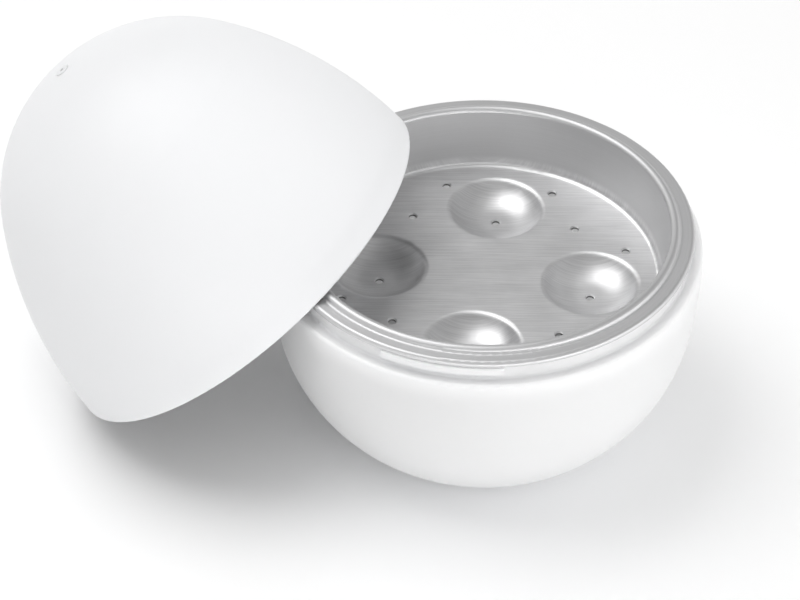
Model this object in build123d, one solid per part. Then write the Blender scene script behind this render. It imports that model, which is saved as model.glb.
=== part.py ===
from build123d import *

import math
import os

# Microwave egg cooker: a white egg-shaped shell in two halves, a perforated metal tray that hangs in
# the lower half, and a metal liner in the upper half. The bowl stands on the floor at z = 0 with its
# axis on Z. The lid is off: it stands on its rim on the -X side and leans on the bowl's metal rim.
# Driving dimensions are in millimetres and degrees.

# Egg-shaped body
body_diameter = 136.0  # widest, where the closed lid meets the bowl
shoulder_height = 66.2  # ledge that carries the closed lid
lid_height = 88.5  # rim to crown
lid_rim_slope = 3.2  # how far the lid's side leans in at its rim
lid_haunch_slope = 32.8  # and where its side arc meets its crown arc

# Bowl
bowl_side_radius = 153.0
bowl_heel_drop = 25.0  # from the widest point down to where the side turns into the heel
foot_diameter = 79.0
bowl_wall = 2.2
bowl_floor = 2.6
foot_round = 1.5
floor_round = 6.0
shoulder_round = 1.0
neck_height = 5.9
neck_wall = 2.2
neck_round = 0.7

# Two bayonet lugs on the neck, and the two catches in the lid that turn in under them
bayonet_angles = (90, 270)
lug_height = 2.4
lug_span = 33.5
lug_round = 0.5
catch_lift = 0.8  # above the lid's rim
catch_span = 30.0

# Pressed metal tray that hangs on the neck by its beaded rim
sheet = 1.0
tray_depth = 19.5  # from the flat of the rim down to the floor
wall_draft = 6.7  # lean of the wall from upright
rim_flat = 2.4  # width of the level ring that rests on the neck
tray_corner = 1.5  # inside radius between floor and wall
bead_radius = 0.6  # inside the rolled bead
bead_roll = 160.0
groove_radius = 1.0  # between bead and flat of the rim
edge_radius = 0.3  # inside the turned-down edge
edge_drop = 0.3  # straight part of the turned-down edge
tray_turn = 5.6  # how far the tray stands turned in the bowl
cup_count = 4
cup_margin = 4.5  # between a cup and the edge of the level floor
cup_diameter = 32.0
cup_flat = 8.0  # across the level bottom
cup_depth = 6.0
cup_lip_share = 0.15  # of the curve that rolls over the lip, the rest being the hollow
hole_diameter = 2.4
hole_edge = 0.4  # width and depth of the broken edge on top of a hole
inner_hole_inset = 17.1  # from the edge of the level floor to the one hole midway between two cups
outer_hole_inset = 7.6  # and to the two beside it
outer_hole_turn = 23.3

# Lid
lid_wall = 1.8
rim_round = 0.6
skirt_wall = 1.6  # of the thin skirt that goes over the neck, at the rim
skirt_extra = 1.0  # the thin skirt goes this far above the tray's rim
lid_lean = 40.15  # of the lid's axis from upright

# Metal liner in the lid, held at the crown by a hollow rivet that lets steam out
liner_sheet = 0.8
liner_gap = 0.4
vent_bore = 1.2
vent_shank = 2.8
vent_head = 4.6
vent_head_height = 0.7
vent_head_round = 0.25
vent_seat_depth = 0.4
vent_tail = 4.4
vent_tail_height = 0.6

# Clearances
slide_fit = 0.3  # between pieces that slide past each other
touch_gap = 0.3  # between the leaning lid and the tray's rim
seat_gap = 0.15  # round the vent's head

# Search for the place where the lid comes to lean
rim_step = 0.25  # degrees between the points tried along half of the lid's rim
halvings = 40

body_radius = body_diameter / 2
widest_height = shoulder_height - shoulder_round
neck_top = shoulder_height + neck_height
rim_height = neck_top + sheet  # top of the flat of the tray's rim
punch_length = 4 * sheet  # enough to cut through the tray's floor
drill_length = 4 * (lid_wall + liner_gap + liner_sheet)  # enough to go through the lid's crown


def at(radius, height):
    """Point of a section, in the XZ plane."""
    return Vector(radius, 0, height)


def polar(centre, radius, angle):
    """Point of a section at an angle from a centre, 0 being outwards and 90 up."""
    turn = math.radians(angle)
    return centre + at(radius * math.cos(turn), radius * math.sin(turn))


def arc(centre, radius, start, end):
    """Arc of a section between two angles."""
    points = [polar(centre, radius, angle) for angle in (start, (start + end) / 2, end)]
    return ThreePointArc(*points)


def section(*pieces):
    """Closed face from points and arcs in order, joined by straight lines."""
    edges = []
    ends = []
    for piece in pieces:
        is_point = isinstance(piece, Vector)
        ends.append((piece, piece) if is_point else (piece @ 0, piece @ 1))
        if not is_point:
            edges.append(piece)
    for (_, end), (start, _) in zip(ends, ends[1:] + ends[:1]):
        if (start - end).length > 1e-6:
            edges.append(Line(end, start))
    return make_face(edges).face()


def rounded(face, radius, *corners):
    """The section with the corners nearest to the given points rounded."""
    nearest = [face.vertices().sort_by_distance(corner)[0] for corner in corners]
    return face.fillet_2d(radius, nearest)


def turned(face, span=360.0, middle=0.0):
    """Solid of a section turned about Z, all round or over a span about a middle angle."""
    if span == 360.0:
        return revolve(face, Axis.Z)
    return Rot(0, 0, middle - span / 2) * revolve(face, Axis.Z, span)


def pressed_sheet(start, thickness, moves):
    """Section of a pressed sheet. The moves follow its upper face outwards from start: a number is a
    straight run, and a pair is a bend in degrees, positive upwards, and the radius inside it."""
    place = start
    heading = 0.0
    upper = []
    lower = []
    for move in moves:
        left = polar(at(0, 0), 1.0, heading + 90)
        if isinstance(move, tuple):
            bend, inside = move
            upward = bend > 0
            upper_radius = inside if upward else inside + thickness
            lower_radius = inside + thickness if upward else inside
            side = -90 if upward else 90
            centre = place + left * (upper_radius if upward else -upper_radius)
            angles = (heading + side, heading + bend + side)
            upper.append(arc(centre, upper_radius, *angles))
            lower.append(arc(centre, lower_radius, *angles))
            heading += bend
        else:
            end = place + polar(at(0, 0), move, heading)
            upper.append(Line(place, end))
            lower.append(Line(place - left * thickness, end - left * thickness))
        place = upper[-1] @ 1
    caps = [Line(upper[0] @ 0, lower[0] @ 0), Line(upper[-1] @ 1, lower[-1] @ 1)]
    return make_face(upper + lower + caps).face()


# Bowl section: a side arc that stands upright at the widest point, then a tighter heel arc

side_centre = at(body_radius - bowl_side_radius, widest_height)
heel_angle = math.degrees(math.asin(bowl_heel_drop / bowl_side_radius))
heel_start = polar(side_centre, bowl_side_radius, -heel_angle)
heel_inward = polar(at(0, 0), -1.0, -heel_angle)
heel_chord = at(foot_diameter / 2, 0) - heel_start
bowl_heel_radius = heel_chord.dot(heel_chord) / (2 * heel_chord.dot(heel_inward))
heel_centre = heel_start + heel_inward * bowl_heel_radius


def side_angle_at(height, inset):
    """Angle on the bowl's side arc at a height."""
    return math.degrees(math.asin((height - side_centre.Z) / (bowl_side_radius - inset)))


def heel_angle_at(height, inset):
    """Angle on the bowl's heel arc at a height."""
    return math.degrees(math.asin((height - heel_centre.Z) / (bowl_heel_radius - inset)))


def bowl_arcs(low, high, inset):
    """Heel and side arcs of the bowl from a low height up to a high one, inset from its outside."""
    heel = arc(heel_centre, bowl_heel_radius - inset, heel_angle_at(low, inset), -heel_angle)
    side = arc(side_centre, bowl_side_radius - inset, -heel_angle, side_angle_at(high, inset))
    return heel, side


# Lid section, about its own axis with its rim at height 0: a side arc that meets a crown arc. The
# two radii are what brings the crown arc level on the axis at the lid's height.

rim_turn = math.radians(lid_rim_slope)
haunch_turn = math.radians(lid_haunch_slope)
side_in = math.cos(rim_turn) - math.cos(haunch_turn)
side_up = math.sin(haunch_turn) - math.sin(rim_turn)
crown_in = math.cos(haunch_turn)
crown_up = 1 - math.sin(haunch_turn)
share = crown_in * side_up - side_in * crown_up
lid_side_radius = (lid_height * crown_in - body_radius * crown_up) / share
lid_crown_radius = (body_radius * side_up - lid_height * side_in) / share
lid_side_centre = polar(at(body_radius, 0), -lid_side_radius, lid_rim_slope)
crown_centre = at(0, lid_height - lid_crown_radius)


def lid_side_angle_at(height, inset):
    """Angle on the lid's side arc at a height above its rim."""
    return math.degrees(math.asin((height - lid_side_centre.Z) / (lid_side_radius - inset)))


def lid_radius_at(height, inset):
    """Radius of the lid's side at a height above its rim."""
    return polar(lid_side_centre, lid_side_radius - inset, lid_side_angle_at(height, inset)).X


def lid_arcs(low, inset):
    """Side and crown arcs of the lid from a low height up to its axis, inset from its outside."""
    side = arc(lid_side_centre, lid_side_radius - inset, lid_side_angle_at(low, inset), lid_haunch_slope)
    crown = arc(crown_centre, lid_crown_radius - inset, lid_haunch_slope, 90)
    return side, crown


# Fits between lid, neck and tray, from the lid inwards

closed_rim = rim_height - shoulder_height  # height of the tray's rim inside the closed lid
skirt_height = closed_rim + skirt_extra
skirt_radius = body_radius - skirt_wall
liner_rim = closed_rim + slide_fit
tray_rim_radius = lid_radius_at(closed_rim, lid_wall) - slide_fit
edge_outer = edge_radius + sheet
edge_bottom = rim_height - edge_outer - edge_drop
neck_radius = tray_rim_radius - sheet - slide_fit
neck_bore = neck_radius - neck_wall
lug_radius = skirt_radius - slide_fit
lug_top = edge_bottom - slide_fit
lug_bottom = lug_top - lug_height
catch_radius = tray_rim_radius + slide_fit
catch_top = lug_bottom - slide_fit - shoulder_height

# Tray section: the wall rolls over a bead and runs out of a groove into the level ring of the rim

draft = math.radians(wall_draft)
bead_outer = bead_radius + sheet
bead_turn = math.radians(bead_roll)
bead_run = bead_outer * (math.cos(draft) - math.cos(bead_turn))
bead_rise = bead_outer * (math.sin(bead_turn) - math.sin(draft))
groove_bend = bead_roll - 90
groove_run = groove_radius * math.sin(math.radians(groove_bend))
groove_fall = groove_radius * (1 - math.cos(math.radians(groove_bend)))
floor_height = rim_height - tray_depth
wall_top = rim_height - bead_rise + groove_fall
wall_bottom = floor_height + tray_corner * (1 - math.sin(draft))
wall_length = (wall_top - wall_bottom) / math.cos(draft)
wall_top_radius = tray_rim_radius - edge_outer - rim_flat - groove_run - bead_run
floor_radius = wall_top_radius - wall_length * math.sin(draft) - tray_corner * math.cos(draft)
cup_circle_radius = floor_radius - cup_margin - cup_diameter / 2


def base_bowl():
    """White bowl with its neck, the ledge for the lid, and two bayonet lugs."""
    inner_top = shoulder_height - bowl_wall
    slope_end = inner_top - (body_radius - bowl_wall - neck_bore)
    shoulder = arc(at(body_radius - shoulder_round, widest_height), shoulder_round, 0, 90)
    inner_heel, inner_side = bowl_arcs(bowl_floor, slope_end, bowl_wall)
    heel, side = bowl_arcs(0, widest_height, 0)
    face = section(
        at(0, bowl_floor),
        at(0, 0),
        heel,
        side,
        shoulder,
        at(neck_radius, shoulder_height),
        at(neck_radius, neck_top),
        at(neck_bore, neck_top),
        at(neck_bore, inner_top),
        inner_side.reversed(),
        inner_heel.reversed(),
    )
    face = rounded(face, foot_round, heel @ 0)
    face = rounded(face, floor_round, inner_heel @ 0)
    face = rounded(face, neck_round, at(neck_radius, shoulder_height), at(neck_radius, neck_top))
    bowl = turned(face)
    lug_face = section(
        at(neck_bore + neck_wall / 2, lug_bottom),
        at(lug_radius, lug_bottom),
        at(lug_radius, lug_top),
        at(neck_bore + neck_wall / 2, lug_top),
    )
    lug_face = rounded(lug_face, lug_round, at(lug_radius, lug_bottom), at(lug_radius, lug_top))
    for middle in bayonet_angles:
        bowl += turned(lug_face, lug_span, middle)
    return bowl


def egg_cup():
    """One hollow of the tray, about its own axis, with its lip level with height 0."""
    run = (cup_diameter - cup_flat) / 2
    slope = 2 * math.degrees(math.atan2(cup_depth, run))
    radii = run / math.sin(math.radians(slope))  # of both curves on the sheet's upper face
    lip = radii * cup_lip_share
    hollow = radii - lip
    moves = [cup_flat / 2, (slope, hollow), (-slope, lip - sheet)]
    return turned(pressed_sheet(at(0, -cup_depth), sheet, moves))


def egg_tray():
    """Pressed tray: floor with egg cups and steam holes, tapered wall, beaded rim over the neck."""
    moves = [
        floor_radius,
        (90 - wall_draft, tray_corner),
        wall_length,
        (wall_draft - bead_roll, bead_radius),
        (groove_bend, groove_radius),
        rim_flat,
        (-90, edge_radius),
        edge_drop,
    ]
    tray = turned(pressed_sheet(at(0, floor_height), sheet, moves))
    hole_pattern = [
        (0, floor_radius - inner_hole_inset),
        (-outer_hole_turn, floor_radius - outer_hole_inset),
        (outer_hole_turn, floor_radius - outer_hole_inset),
    ]
    holes = []
    for index in range(cup_count):
        turn = tray_turn + index * 360 / cup_count
        cup_place = Rot(0, 0, turn) * Pos(cup_circle_radius, 0, floor_height)
        tray -= cup_place * Cylinder(cup_diameter / 2, punch_length)
        tray += cup_place * egg_cup()
        holes.append(cup_place * Pos(0, 0, -cup_depth))
        for offset, radius in hole_pattern:
            holes.append(Rot(0, 0, turn + 180 / cup_count + offset) * Pos(radius, 0, floor_height))
    hole_radius = hole_diameter / 2
    for hole in holes:
        tray -= hole * Cylinder(hole_radius, punch_length)
        tray -= hole * Pos(0, 0, -hole_edge / 2) * Cone(hole_radius, hole_radius + hole_edge, hole_edge)
    return tray


def lid_shell():
    """White dome about its own axis, with a thin skirt, two bayonet catches and a seat for the vent."""
    side, crown = lid_arcs(0, 0)
    inner_side, inner_crown = lid_arcs(skirt_height, lid_wall)
    face = section(
        at(skirt_radius, 0),
        side,
        crown,
        inner_crown.reversed(),
        inner_side.reversed(),
        at(skirt_radius, skirt_height),
    )
    face = rounded(face, rim_round, side @ 0, at(skirt_radius, 0))
    shell = turned(face)
    overlap = (lid_radius_at(catch_top, 0) - skirt_radius) / 2  # of the catch into the skirt
    catch_face = section(
        at(catch_radius, catch_lift),
        at(skirt_radius + overlap, catch_lift),
        at(skirt_radius + overlap, catch_top),
        at(catch_radius, catch_top),
    )
    for middle in bayonet_angles:
        shell += turned(catch_face, catch_span, middle)
    shell -= Pos(0, 0, lid_height) * Cylinder(vent_head / 2 + seat_gap, 2 * vent_seat_depth)
    shell -= Pos(0, 0, lid_height) * Cylinder(vent_shank / 2, drill_length)
    return shell


def lid_liner():
    """Thin metal dome that follows the inside of the lid."""
    outside = lid_wall + liner_gap
    side, crown = lid_arcs(liner_rim, outside)
    inner_side, inner_crown = lid_arcs(liner_rim, outside + liner_sheet)
    liner = turned(section(side, crown, inner_crown.reversed(), inner_side.reversed()))
    return liner - Pos(0, 0, lid_height) * Cylinder(vent_shank / 2, drill_length)


def lid_vent():
    """Hollow rivet through the crown: a low head outside and a tail that holds the liner inside."""
    seat = lid_height - vent_seat_depth
    head_top = seat + vent_head_height
    liner_inside = lid_crown_radius - lid_wall - liner_gap - liner_sheet
    tail_top = crown_centre.Z + math.sqrt(liner_inside**2 - (vent_tail / 2) ** 2)
    tail_bottom = tail_top - vent_tail_height
    face = section(
        at(vent_bore / 2, tail_bottom),
        at(vent_tail / 2, tail_bottom),
        at(vent_tail / 2, tail_top),
        at(vent_shank / 2, tail_top),
        at(vent_shank / 2, seat),
        at(vent_head / 2, seat),
        at(vent_head / 2, head_top),
        at(vent_bore / 2, head_top),
    )
    return turned(rounded(face, vent_head_round, at(vent_head / 2, head_top)))


def outside_of(cylinder_radius, top, radius, height):
    """Distance of a point from an upright cylinder under a top, negative inside it."""
    out = radius - cylinder_radius
    over = height - top
    return math.hypot(max(out, 0), max(over, 0)) + min(max(out, over), 0)


def leaning_place():
    """Place of the open lid: its rim stands on the floor and leans on the bowl or the tray's rim."""
    lean = math.radians(lid_lean)
    foot_circle = lid_radius_at(rim_round, rim_round)
    rise = foot_circle * math.sin(lean) - rim_round * math.cos(lean) + rim_round
    edge_circle = skirt_radius + rim_round  # centre line of the rim's rounded inner edge

    def gap(distance):
        """Least gap between the lid's rim and the bowl, with the lid's centre so far from the axis."""
        least = math.inf
        for step in range(round(180 / rim_step) + 1):
            turn = math.radians(step * rim_step)
            along = edge_circle * math.cos(turn)
            x = along * math.cos(lean) - rim_round * math.sin(lean) - distance
            y = edge_circle * math.sin(turn)
            z = along * math.sin(lean) + rim_round * math.cos(lean) + rise
            radius = math.hypot(x, y)
            on_tray = outside_of(tray_rim_radius - edge_outer, rim_height - edge_outer, radius, z)
            on_bowl = outside_of(body_radius - shoulder_round, widest_height, radius, z)
            least = min(least, on_tray - edge_outer, on_bowl - shoulder_round)
        return least - rim_round

    near = 0.0
    far = 2 * body_diameter
    for _ in range(halvings):
        middle = (near + far) / 2
        if gap(middle) < touch_gap:
            near = middle
        else:
            far = middle
    return Pos(-far, 0, rise) * Rot(0, -lid_lean, 0)


lid_place = leaning_place()
pieces = {
    "base_bowl": base_bowl(),
    "egg_tray": egg_tray(),
    "lid_shell": lid_place * lid_shell(),
    "lid_liner": lid_place * lid_liner(),
    "lid_vent": lid_place * lid_vent(),
}

os.makedirs("parts", exist_ok=True)
for name, piece in pieces.items():
    export_step(piece, f"parts/{name}.step")
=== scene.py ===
"""Dresses the egg cooker: moulded white plastic, a pressed and brushed aluminium tray, a spun
aluminium lid liner, and a white studio seen from the photograph's viewing angle."""

import math

import bpy
from bpy.props import FloatProperty, FloatVectorProperty, PointerProperty
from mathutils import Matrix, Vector


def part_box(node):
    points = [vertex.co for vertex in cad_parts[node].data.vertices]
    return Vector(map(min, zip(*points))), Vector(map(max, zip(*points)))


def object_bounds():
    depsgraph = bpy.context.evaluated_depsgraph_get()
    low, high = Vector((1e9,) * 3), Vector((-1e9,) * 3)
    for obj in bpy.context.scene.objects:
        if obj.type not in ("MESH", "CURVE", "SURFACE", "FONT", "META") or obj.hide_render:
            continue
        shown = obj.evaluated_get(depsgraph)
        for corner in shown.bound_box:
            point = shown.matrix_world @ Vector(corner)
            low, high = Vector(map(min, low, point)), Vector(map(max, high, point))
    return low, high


bl_info = {
    "name": "Egg Cooker Finishes",
    "version": (1, 0, 0),
    "blender": (4, 5, 0),
    "location": "View3D > Sidebar > Egg Cooker",
    "description": "Gives the egg cooker's pieces their finishes and sets up the studio",
    "category": "Object",
}

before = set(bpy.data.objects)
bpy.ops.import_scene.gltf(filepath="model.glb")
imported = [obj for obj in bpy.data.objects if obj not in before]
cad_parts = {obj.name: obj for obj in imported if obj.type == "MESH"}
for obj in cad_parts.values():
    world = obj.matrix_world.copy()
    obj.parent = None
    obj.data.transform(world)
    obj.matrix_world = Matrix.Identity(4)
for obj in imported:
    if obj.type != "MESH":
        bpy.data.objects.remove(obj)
cad_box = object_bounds()

MM = 0.001
SIGHT = 50.0  # how far the camera sees, in metres
UNDERSIDE = -0.2  # upward part of a normal from which a face counts as an underside
UPRIGHT = (0.5, 0.2)  # upward parts of a normal between which a face turns upright
HOLLOW = -10 * MM  # reach towards the middle of the bowl's mouth from which a face counts as its inside

bowl_low, bowl_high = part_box("base_bowl")
tray_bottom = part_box("egg_tray")[0].z
vent_low, vent_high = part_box("lid_vent")


class Wire:
    """One output of a shader's nodes. Arithmetic on it adds Math nodes."""

    def __init__(self, shader, socket):
        self.shader = shader
        self.socket = socket

    def math(self, operation, *values):
        """A Math node on values, of which one at least is a wire."""
        return self.shader.add("ShaderNodeMath", {"operation": operation}, dict(enumerate(values)))

    def __add__(self, other):
        return self.math("ADD", self, other)

    def __sub__(self, other):
        return self.math("SUBTRACT", self, other)

    def __rsub__(self, other):
        return self.math("SUBTRACT", other, self)

    def __mul__(self, other):
        return self.math("MULTIPLY", self, other)

    def __truediv__(self, other):
        return self.math("DIVIDE", self, other)

    __radd__ = __add__
    __rmul__ = __mul__


class Shader:
    """The nodes of one material, or of the world."""

    def __init__(self, owner):
        owner.use_nodes = True
        self.tree = owner.node_tree
        self.tree.nodes.clear()

    def add(self, kind, settings=None, sockets=None, output=0):
        """Adds a node of any type. Its settings come first, then its sockets' values or links."""
        node = self.tree.nodes.new(kind)
        for name, value in (settings or {}).items():
            setattr(node, name, value)
        for name, value in (sockets or {}).items():
            if isinstance(value, Wire):
                self.tree.links.new(value.socket, node.inputs[name])
            else:
                node.inputs[name].default_value = value
        return Wire(self, node.outputs[output]) if len(node.outputs) else None

    def place(self):
        """Where a point is in the object's own frame, in metres."""
        return self.add("ShaderNodeTexCoord", output="Object")

    def vector(self, operation, *values, output=0):
        """A Vector Math node."""
        return self.add("ShaderNodeVectorMath", {"operation": operation}, dict(enumerate(values)), output)

    def along(self, place, direction):
        """How far a place lies along a direction."""
        return self.vector("DOT_PRODUCT", place, direction, output="Value")

    def combine(self, x, y, z):
        """A vector from three values."""
        return self.add("ShaderNodeCombineXYZ", sockets={"X": x, "Y": y, "Z": z})

    def noise(self, place, size, detail=2.0, roughness=0.5):
        """Soft noise from 0 to 1 with features of about a size."""
        sockets = {"Vector": place, "Scale": 1 / size, "Detail": detail, "Roughness": roughness}
        return self.add("ShaderNodeTexNoise", sockets=sockets)

    def step(self, value, low, high):
        """Goes smoothly from 0 at a low value to 1 at a high one."""
        sockets = {"Value": value, "From Min": low, "From Max": high}
        return self.add("ShaderNodeMapRange", {"interpolation_type": "SMOOTHSTEP"}, sockets)

    def mix(self, factor, first, second):
        """A colour between two colours."""
        return self.add("ShaderNodeMix", {"data_type": "RGBA"}, {0: factor, 6: first, 7: second}, 2)

    def normal(self):
        """Which way a point faces."""
        return self.add("ShaderNodeNewGeometry", output="Normal")

    def bump(self, height, depth):
        """A normal that follows a height from 0 to 1 over a depth in metres."""
        return self.add("ShaderNodeBump", sockets={"Strength": 1.0, "Distance": depth, "Height": height})

    def blend(self, factor, first, second):
        """A shader between two shaders."""
        return self.add("ShaderNodeMixShader", sockets={0: factor, 1: first, 2: second})

    def ray(self, kind):
        """1 for rays of one kind, and 0 for all others."""
        return self.add("ShaderNodeLightPath", output=f"Is {kind} Ray")

    def seen(self):
        """1 for what the camera sees, straight or in a reflection, and 0 for what only lights."""
        straight, mirrored, through = (self.ray(kind) for kind in ("Camera", "Glossy", "Transmission"))
        return straight.math("MAXIMUM", straight.math("MAXIMUM", straight, mirrored), through)

    def surface(self, sockets):
        """A Principled surface."""
        return self.add("ShaderNodeBsdfPrincipled", sockets=sockets)

    def finish(self, surface):
        """Ends a material in a surface."""
        self.add("ShaderNodeOutputMaterial", sockets={"Surface": surface})


def grey(level):
    """A neutral colour."""
    return (level, level, level, 1.0)


def tinted(colour, share=1.0):
    """A property's colour times a share, as a socket takes it."""
    return (*(channel * share for channel in colour), 1.0)


def tones(colour, shares):
    """A property's colour at each of two shares."""
    return [tinted(colour, share) for share in shares]


class PlasticFinish(bpy.types.PropertyGroup):
    """Moulded white plastic."""

    colour: FloatVectorProperty(
        name="Colour", description="White of the moulded plastic", subtype="COLOR",
        default=(0.905, 0.911, 0.924), min=0, max=1)
    roughness: FloatProperty(
        name="Roughness", description="Roughness of the satin skin", default=0.42, min=0, max=1)
    bowl_glow: FloatProperty(
        name="Bowl Glow", description="Share of light that wanders inside the bowl's wall",
        default=0.85, min=0, max=1)
    lid_glow: FloatProperty(
        name="Lid Glow", description="Share of light that wanders inside the lid's wall",
        default=0.3, min=0, max=1)
    glow_depth: FloatProperty(
        name="Glow Depth", description="How far light wanders in the wall",
        default=5 * MM, unit="LENGTH")
    shine_depth: FloatProperty(
        name="Shine Depth", description="How far light wanders through the wall into the bowl",
        default=18 * MM, unit="LENGTH")
    sheen: FloatProperty(
        name="Sheen", description="Strength of the plastic's mirroring, 0.5 being that of clean plastic",
        default=0.3, min=0, max=1)
    # Painted light: the bowl's white is lifted above the lid's, though both are the same plastic, to stand
    # in for light shining through the bowl's wall.
    bowl_light_lift: FloatProperty(
        name="Bowl Tone", description="White of the bowl beside the lid's", default=1.04, min=0)
    vent_tone: FloatProperty(
        name="Vent Tone", description="White of the steam vent beside the lid's",
        default=0.97, min=0, max=1)
    cloud_size: FloatProperty(
        name="Cloud Size", description="Size of the soft changes of tone and gloss",
        default=28 * MM, unit="LENGTH")
    cloud_tone: FloatProperty(
        name="Cloud Tone", description="Tone of the darkest places", default=0.985, min=0, max=1)
    cloud_gloss: FloatProperty(
        name="Cloud Gloss", description="How much the roughness changes from place to place",
        default=0.08, min=0, max=1)
    grain_size: FloatProperty(
        name="Grain Size", description="Size of the mould's fine grain", default=0.25 * MM, unit="LENGTH")
    grain_gloss: FloatProperty(
        name="Grain Gloss", description="How much the roughness changes over the grain",
        default=0.06, min=0, max=1)
    peel_size: FloatProperty(
        name="Peel Size", description="Size of the skin's faint waves", default=1.6 * MM, unit="LENGTH")
    peel_depth: FloatProperty(
        name="Peel Depth", description="Depth of the skin's faint waves",
        default=0.004 * MM, unit="LENGTH")


class MetalFinish(bpy.types.PropertyGroup):
    """Aluminium of the tray and of the lid's liner."""

    floor_colour: FloatVectorProperty(
        name="Floor Colour", description="Brushed floor of the tray", subtype="COLOR",
        default=(0.8, 0.8, 0.805), min=0, max=1)
    rim_colour: FloatVectorProperty(
        name="Rim Colour", description="Spun wall and rim of the tray", subtype="COLOR",
        default=(0.66, 0.66, 0.665), min=0, max=1)
    bare_colour: FloatVectorProperty(
        name="Bare Colour", description="Bright underside of the tray", subtype="COLOR",
        default=(0.9, 0.9, 0.905), min=0, max=1)
    liner_colour: FloatVectorProperty(
        name="Liner Colour", description="Spun liner of the lid", subtype="COLOR",
        default=(0.76, 0.76, 0.765), min=0, max=1)
    # Painted shade: this dark colour on the upright walls of the steam holes stands in for the shade
    # inside the holes.
    hole_shade_colour: FloatVectorProperty(
        name="Edge Colour", description="Dull cut edge of the tray's steam holes", subtype="COLOR",
        default=(0.22, 0.22, 0.22), min=0, max=1)
    edge_reach: FloatProperty(
        name="Edge Reach", description="Distance from the tray's middle within which the steam holes lie",
        default=50 * MM, unit="LENGTH")
    floor_tones: FloatVectorProperty(
        name="Floor Tones", description="Darkest and lightest streak of the brushed floor",
        size=2, default=(0.6, 1.3), min=0)
    rim_tones: FloatVectorProperty(
        name="Rim Tones", description="Darkest and lightest ring of the spun rim",
        size=2, default=(0.92, 1.05), min=0)
    liner_tones: FloatVectorProperty(
        name="Liner Tones", description="Darkest and lightest ring of the spun liner",
        size=2, default=(0.85, 1.05), min=0)
    floor_roughness: FloatProperty(
        name="Floor Roughness", description="Roughness of the brushed floor", default=0.46, min=0, max=1)
    rim_roughness: FloatProperty(
        name="Rim Roughness", description="Roughness of the spun rim", default=0.5, min=0, max=1)
    liner_roughness: FloatProperty(
        name="Liner Roughness", description="Roughness of the spun liner", default=0.32, min=0, max=1)
    streak_gloss: FloatProperty(
        name="Streak Gloss", description="How much the roughness changes from streak to streak",
        default=0.16, min=0, max=1)
    smudge_gloss: FloatProperty(
        name="Smudge Gloss", description="How much the roughness changes from smudge to smudge",
        default=0.08, min=0, max=1)
    smudge_share: FloatProperty(
        name="Smudge Share", description="Share of the smudges beside the streaks in the metal's tone",
        default=0.3, min=0, max=1)
    smudge_size: FloatProperty(
        name="Smudge Size", description="Size of the soft smudges", default=13 * MM, unit="LENGTH")
    streak_width: FloatProperty(
        name="Streak Width", description="Width of a brushed streak", default=0.35 * MM, unit="LENGTH")
    streak_length: FloatProperty(
        name="Streak Length", description="Length of a brushed streak", default=16 * MM, unit="LENGTH")
    ring_length: FloatProperty(
        name="Ring Length", description="Length of a streak in a spun ring",
        default=64 * MM, unit="LENGTH")
    streak_turn: FloatProperty(
        name="Streak Turn", description="Direction of the streaks on the tray's floor",
        default=math.radians(12), subtype="ANGLE")
    streak_depth: FloatProperty(
        name="Streak Depth", description="Depth of a brushed streak", default=0.006 * MM, unit="LENGTH")
    floor_band: FloatProperty(
        name="Floor Band", description="Height above the cups up to which the metal is brushed",
        default=9 * MM, unit="LENGTH")
    band_edge: FloatProperty(
        name="Band Edge", description="Height over which the brushing gives way to the spinning",
        default=2 * MM, unit="LENGTH")
    lid_lean: FloatProperty(
        name="Lid Lean", description="Lean of the lid's axis from upright",
        default=math.radians(40.15), subtype="ANGLE")


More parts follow.
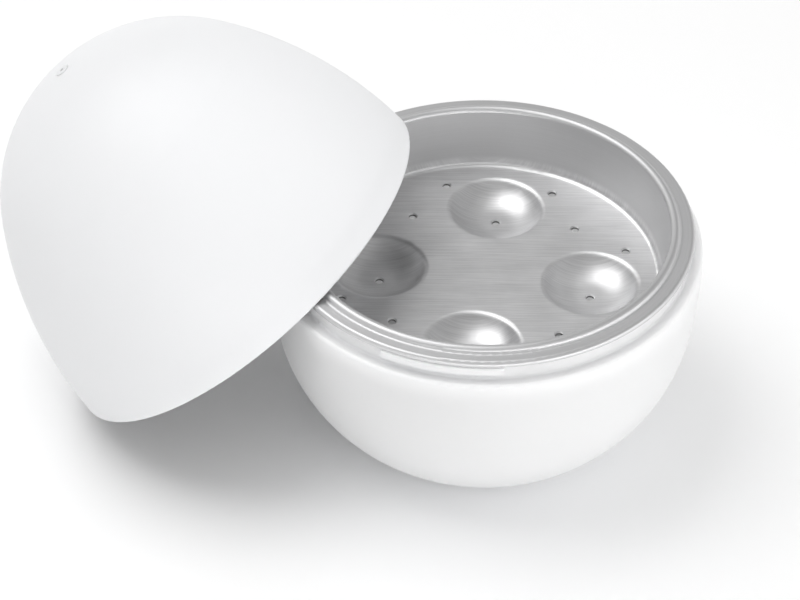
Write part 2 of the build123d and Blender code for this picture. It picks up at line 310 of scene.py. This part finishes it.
class StudioSetup(bpy.types.PropertyGroup):
    """White studio round the object."""

    camera_place: FloatVectorProperty(
        name="Camera Place", description="Where the camera stands", subtype="TRANSLATION",
        default=(0.1993, -0.9998, 0.9030))
    camera_turn: FloatProperty(
        name="Camera Turn", description="Turn of the camera to the left of +Y",
        default=math.radians(12.77), subtype="ANGLE")
    camera_pitch: FloatProperty(
        name="Camera Pitch", description="How far the camera looks down",
        default=math.radians(40.16), subtype="ANGLE")
    camera_lens: FloatProperty(
        name="Camera Lens", description="Focal length on a sensor of usual width",
        default=189.85, unit="CAMERA")
    dim_side: FloatVectorProperty(
        name="Dim Side", description="Where the horizon gives the least light", subtype="DIRECTION",
        default=(-0.6, -0.8, 0.0))
    front_light: FloatProperty(
        name="Front Light", description="Soft light from the horizon on the dim side", default=0.16, min=0)
    side_light: FloatProperty(
        name="Side Light", description="Soft light from the rest of the horizon", default=0.6, min=0)
    top_light: FloatProperty(
        name="Top Light", description="Soft light from straight above", default=0.69, min=0)
    overhead_place: FloatVectorProperty(
        name="Overhead Place", description="Where the overhead lamp hangs", subtype="TRANSLATION",
        default=(-0.5, 0.05, 1.1))
    overhead_size: FloatVectorProperty(
        name="Overhead Size", description="Width and height of the overhead lamp", size=2, unit="LENGTH",
        default=(0.9, 0.9))
    overhead_level: FloatProperty(
        name="Overhead Level", description="Brightness that the overhead lamp gives a white card",
        default=0.52, min=0)
    front_place: FloatVectorProperty(
        name="Front Place", description="Where the front lamp hangs", subtype="TRANSLATION",
        default=(0.5, -1.5, 0.26))
    front_size: FloatVectorProperty(
        name="Front Size", description="Width and height of the front lamp", size=2, unit="LENGTH",
        default=(2.6, 0.5))
    front_level: FloatProperty(
        name="Front Level", description="Brightness that the front lamp gives a white card",
        default=0.39, min=0)
    side_place: FloatVectorProperty(
        name="Side Place", description="Where the side lamp hangs", subtype="TRANSLATION",
        default=(1.5, -0.3, 0.3))
    side_size: FloatVectorProperty(
        name="Side Size", description="Width and height of the side lamp", size=2, unit="LENGTH",
        default=(1.6, 0.5))
    side_level: FloatProperty(
        name="Side Level", description="Brightness that the side lamp gives a white card",
        default=0.2, min=0)
    ceiling: FloatProperty(
        name="Ceiling", description="Grey that metal mirrors above the white background",
        default=0.42, min=0, max=1)
    ceiling_start: FloatProperty(
        name="Ceiling Start", description="Height at which the white background starts to turn grey",
        default=math.radians(6), subtype="ANGLE")
    ceiling_end: FloatProperty(
        name="Ceiling End", description="Height from which the studio is all grey",
        default=math.radians(24), subtype="ANGLE")
    floor_white: FloatProperty(
        name="Floor White", description="White of the floor as it lights the object",
        default=0.9, min=0, max=1)
    floor_shown: FloatProperty(
        name="Floor Shown", description="White of the floor as it is looked at", default=1.0, min=0)
    floor_fade: FloatVectorProperty(
        name="Floor Fade", description="Distances between which the looked-at floor turns pure white",
        size=2, unit="LENGTH", default=(0.2, 0.6))
    floor_span: FloatProperty(
        name="Floor Span", description="Width of the floor", default=8.0, unit="LENGTH")


def new_material(name):
    """An empty material and its shader."""
    material = bpy.data.materials.new(name)
    return material, Shader(material)


def dress(node, material):
    """Gives a node of the model its one material."""
    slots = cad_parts[node].data.materials
    slots.clear()
    slots.append(material)


def bowl_inside(shader):
    """1 on the bowl's inside, which faces the middle of its mouth, and 0 on its outside."""
    middle = (bowl_low + bowl_high) / 2
    mouth = (middle.x, middle.y, bowl_high.z)
    outward = shader.along(shader.vector("SUBTRACT", shader.place(), mouth), shader.normal())
    return shader.step(outward, 0.0, HOLLOW)


def moulded_plastic(name, finish, glow, tone=1.0, inside=None):
    """Satin white plastic: a faint unevenness of tone and gloss, and the fine waves of a moulded skin.
    Light shines through to the inside, where the piece has one."""
    material, shader = new_material(name)
    place = shader.place()
    cloud = shader.noise(place, finish.cloud_size)
    peel = shader.noise(place, finish.peel_size, detail=1.0)
    grain = shader.noise(place, finish.grain_size, detail=1.0)
    # The tone scales the white. The bowl's tone above 1 is painted light; the vent's is its own tone.
    dark = tinted(finish.colour, finish.cloud_tone * tone)
    colour = shader.mix(cloud, dark, tinted(finish.colour, tone))
    unevenness = (cloud - 0.5) * finish.cloud_gloss + (grain - 0.5) * finish.grain_gloss
    roughness = finish.roughness + unevenness
    normal = shader.bump(peel, finish.peel_depth)
    sockets = {
        "Base Color": colour,
        "Roughness": roughness,
        "Normal": normal,
        "Specular IOR Level": finish.sheen,
        "Subsurface Weight": glow,
        "Subsurface Radius": (1.0, 1.0, 1.0),
        "Subsurface Scale": finish.glow_depth,
    }
    surface = shader.surface(sockets)
    if inside:
        shine = {"Subsurface Weight": 1.0, "Subsurface Scale": finish.shine_depth}
        surface = shader.blend(inside(shader), surface, shader.surface({**sockets, **shine}))
    shader.finish(surface)
    return material


def pressed_tray(name, finish):
    """Tray aluminium: straight brushed streaks on its floor, spun rings on its wall and rim, and painted
    shade on the upright walls of its steam holes.
    """
    material, shader = new_material(name)
    place = shader.place()
    turn = finish.streak_turn
    run = shader.along(place, (math.cos(turn), math.sin(turn), 0))
    across = shader.along(place, (-math.sin(turn), math.cos(turn), 0))
    height = shader.along(place, (0, 0, 1))
    radius = shader.vector("LENGTH", shader.vector("MULTIPLY", place, (1, 1, 0)), output="Value")

    width = finish.streak_width
    length = finish.streak_length
    brushed_place = shader.combine(run / length, across / width, height / length)
    brushed = shader.noise(brushed_place, 1.0, detail=3.0, roughness=0.65)
    spun = shader.noise(shader.combine(radius / width, height / width, run / finish.ring_length), 1.0)
    smudge = shader.noise(place, finish.smudge_size, detail=3.0)

    band = tray_bottom + finish.floor_band
    upper = shader.step(height, band, band + finish.band_edge)
    streak = brushed + (spun - brushed) * upper
    worn = brushed + (smudge - brushed) * finish.smudge_share
    floor_tone = shader.mix(worn, *tones(finish.floor_colour, finish.floor_tones))
    rim_tone = shader.mix(spun, *tones(finish.rim_colour, finish.rim_tones))
    facing = shader.along(shader.normal(), (0, 0, 1))
    underside = shader.step(facing, 0.0, UNDERSIDE)
    upright = shader.step(facing.math("ABSOLUTE", facing), *UPRIGHT)
    # Painted shade: a mask of the upright faces within reach of the steam holes, where the holes' shade is
    # painted dark.
    painted_hole_shade = upright * facing.math("LESS_THAN", radius, finish.edge_reach)
    worked = shader.mix(upper, floor_tone, rim_tone)
    clean = shader.mix(underside, worked, tinted(finish.bare_colour))
    colour = shader.mix(painted_hole_shade, clean, tinted(finish.hole_shade_colour))
    base_roughness = finish.floor_roughness + (finish.rim_roughness - finish.floor_roughness) * upper
    unevenness = (streak - 0.5) * finish.streak_gloss + (smudge - 0.5) * finish.smudge_gloss
    normal = shader.bump(streak, finish.streak_depth)
    shader.finish(shader.surface({
        "Base Color": colour,
        "Metallic": 1.0,
        "Roughness": base_roughness + unevenness,
        "Normal": normal,
    }))
    return material


def spun_liner(name, finish):
    """Liner aluminium: rings spun about the lid's axis, with a soft unevenness."""
    material, shader = new_material(name)
    crown = (vent_low + vent_high) / 2
    axis = (-math.sin(finish.lid_lean), 0, math.cos(finish.lid_lean))
    place = shader.place()
    from_crown = shader.vector("SUBTRACT", place, tuple(crown))
    depth = shader.along(from_crown, axis)
    ring_place = shader.combine(depth / finish.streak_width, 0.0, 0.0)
    ring = shader.noise(ring_place, 1.0, detail=3.0, roughness=0.6)
    smudge = shader.noise(place, finish.smudge_size, detail=3.0)
    worn = ring + (smudge - ring) * finish.smudge_share
    colour = shader.mix(worn, *tones(finish.liner_colour, finish.liner_tones))
    unevenness = (ring - 0.5) * finish.streak_gloss + (smudge - 0.5) * finish.smudge_gloss
    normal = shader.bump(ring, finish.streak_depth)
    shader.finish(shader.surface({
        "Base Color": colour,
        "Metallic": 1.0,
        "Roughness": finish.liner_roughness + unevenness,
        "Normal": normal,
    }))
    return material


class EGGCOOKER_OT_bowl(bpy.types.Operator):
    """Give the bowl its white plastic"""

    bl_idname = "egg_cooker.bowl"
    bl_label = "Finish Bowl"

    def execute(self, context):
        plastic = context.scene.egg_cooker_plastic
        # The bowl's lifted white is painted light.
        look = (plastic.bowl_glow, plastic.bowl_light_lift, bowl_inside)
        dress("base_bowl", moulded_plastic("bowl_plastic", plastic, *look))
        return {"FINISHED"}


class EGGCOOKER_OT_tray(bpy.types.Operator):
    """Give the tray its brushed and spun aluminium"""

    bl_idname = "egg_cooker.tray"
    bl_label = "Finish Tray"

    def execute(self, context):
        dress("egg_tray", pressed_tray("tray_aluminium", context.scene.egg_cooker_metal))
        return {"FINISHED"}


class EGGCOOKER_OT_lid(bpy.types.Operator):
    """Give the lid and its steam vent their white plastic"""

    bl_idname = "egg_cooker.lid"
    bl_label = "Finish Lid"

    def execute(self, context):
        plastic = context.scene.egg_cooker_plastic
        dress("lid_shell", moulded_plastic("lid_plastic", plastic, plastic.lid_glow))
        dress("lid_vent", moulded_plastic("vent_plastic", plastic, plastic.lid_glow, plastic.vent_tone))
        return {"FINISHED"}


class EGGCOOKER_OT_liner(bpy.types.Operator):
    """Give the lid's liner its spun aluminium"""

    bl_idname = "egg_cooker.liner"
    bl_label = "Finish Liner"

    def execute(self, context):
        dress("lid_liner", spun_liner("liner_aluminium", context.scene.egg_cooker_metal))
        return {"FINISHED"}


def link(thing):
    """Puts a new object into the scene."""
    bpy.context.scene.collection.objects.link(thing)
    return thing


def soft_lamp(name, place, aim, size, level):
    """An oblong lamp that lights a white card at its aim to a level."""
    lamp = bpy.data.lights.new(name, "AREA")
    lamp.shape = "RECTANGLE"
    lamp.size, lamp.size_y = size
    reach = Vector(aim) - Vector(place)
    # The panel spreads its power over pi, and a white card spreads what it gets over pi again.
    lamp.energy = level * math.pi**2 * reach.length_squared
    thing = link(bpy.data.objects.new(name, lamp))
    thing.location = place
    thing.rotation_euler = reach.to_track_quat("-Z", "Y").to_euler()
    thing.visible_camera = False


def studio_floor(setup):
    """A wide white floor that keeps the shadow and turns into the white background further out."""
    half = setup.floor_span / 2
    mesh = bpy.data.meshes.new("studio_floor")
    corners = [(-half, -half, 0), (half, -half, 0), (half, half, 0), (-half, half, 0)]
    mesh.from_pydata(corners, [], [(0, 1, 2, 3)])
    material, shader = new_material("studio_floor")
    white = shader.add("ShaderNodeBsdfDiffuse", sockets={"Color": grey(setup.floor_white)})
    near = shader.add("ShaderNodeBsdfDiffuse", sockets={"Color": grey(setup.floor_shown)})
    far = shader.add("ShaderNodeEmission", sockets={"Color": grey(1.0), "Strength": 1.0})
    distance = shader.vector("LENGTH", shader.place(), output="Value")
    shown = shader.blend(shader.step(distance, *setup.floor_fade), near, far)
    shader.finish(shader.blend(shader.seen(), white, shown))
    mesh.materials.append(material)
    link(bpy.data.objects.new("studio_floor", mesh))


def studio_world(setup):
    """Soft light from all round, and a white background that metal mirrors under a grey ceiling."""
    world = bpy.data.worlds.new("studio")
    shader = Shader(world)

    def glow(strength):
        """A background of one strength."""
        return shader.add("ShaderNodeBackground", sockets={"Color": grey(1.0), "Strength": strength})

    direction = shader.add("ShaderNodeTexCoord", output="Generated")
    climb = shader.along(direction, (0, 0, 1))
    dimness = shader.step(shader.along(direction, setup.dim_side), 0.0, 1.0)
    horizon = shader.blend(dimness, glow(setup.side_light), glow(setup.front_light))
    light = shader.blend(climb * climb, horizon, glow(setup.top_light))
    above = shader.step(climb, math.sin(setup.ceiling_start), math.sin(setup.ceiling_end))
    mirrored = above * (1 - shader.ray("Camera"))
    shown = shader.blend(mirrored, glow(1.0), glow(setup.ceiling))
    shader.add("ShaderNodeOutputWorld", sockets={"Surface": shader.blend(shader.seen(), light, shown)})
    bpy.context.scene.world = world


def studio_camera(setup):
    """The camera at the photograph's viewing angle."""
    data = bpy.data.cameras.new("photo_camera")
    data.lens = setup.camera_lens
    data.clip_end = SIGHT
    camera = link(bpy.data.objects.new("photo_camera", data))
    camera.location = setup.camera_place
    camera.rotation_euler = (math.pi / 2 - setup.camera_pitch, 0, setup.camera_turn)
    bpy.context.scene.camera = camera


class EGGCOOKER_OT_stage(bpy.types.Operator):
    """Set up the white studio, its lamps and the camera"""

    bl_idname = "egg_cooker.stage"
    bl_label = "Set Up Studio"

    def execute(self, context):
        setup = context.scene.egg_cooker_studio
        studio_floor(setup)
        studio_world(setup)
        studio_camera(setup)
        middle = (cad_box[0] + cad_box[1]) / 2
        for lamp in ("overhead", "front", "side"):
            place, size, level = (getattr(setup, f"{lamp}_{key}") for key in ("place", "size", "level"))
            soft_lamp(f"{lamp}_lamp", place, middle, size, level)
        context.scene.view_settings.view_transform = "Standard"
        return {"FINISHED"}


class EGGCOOKER_PT_panel(bpy.types.Panel):
    """Finishes and studio of the egg cooker"""

    bl_idname = "EGGCOOKER_PT_panel"
    bl_label = "Egg Cooker"
    bl_space_type = "VIEW_3D"
    bl_region_type = "UI"
    bl_category = "Egg Cooker"

    def draw(self, context):
        for operator in OPERATORS:
            self.layout.operator(operator.bl_idname)
        for name in GROUPS:
            group = getattr(context.scene, name)
            column = self.layout.column()
            for key in group.__annotations__:
                column.prop(group, key)


GROUPS = {
    "egg_cooker_plastic": PlasticFinish,
    "egg_cooker_metal": MetalFinish,
    "egg_cooker_studio": StudioSetup,
}
OPERATORS = (
    EGGCOOKER_OT_bowl,
    EGGCOOKER_OT_tray,
    EGGCOOKER_OT_liner,
    EGGCOOKER_OT_lid,
    EGGCOOKER_OT_stage,
)


def register():
    for kind in (*GROUPS.values(), *OPERATORS, EGGCOOKER_PT_panel):
        bpy.utils.register_class(kind)
    for name, kind in GROUPS.items():
        setattr(bpy.types.Scene, name, PointerProperty(type=kind))


def unregister():
    for name in GROUPS:
        delattr(bpy.types.Scene, name)
    for kind in (EGGCOOKER_PT_panel, *OPERATORS, *GROUPS.values()):
        bpy.utils.unregister_class(kind)


def main():
    register()
    bpy.ops.egg_cooker.bowl()
    bpy.ops.egg_cooker.tray()
    bpy.ops.egg_cooker.liner()
    bpy.ops.egg_cooker.lid()
    bpy.ops.egg_cooker.stage()


if __name__ == "__main__":
    main()
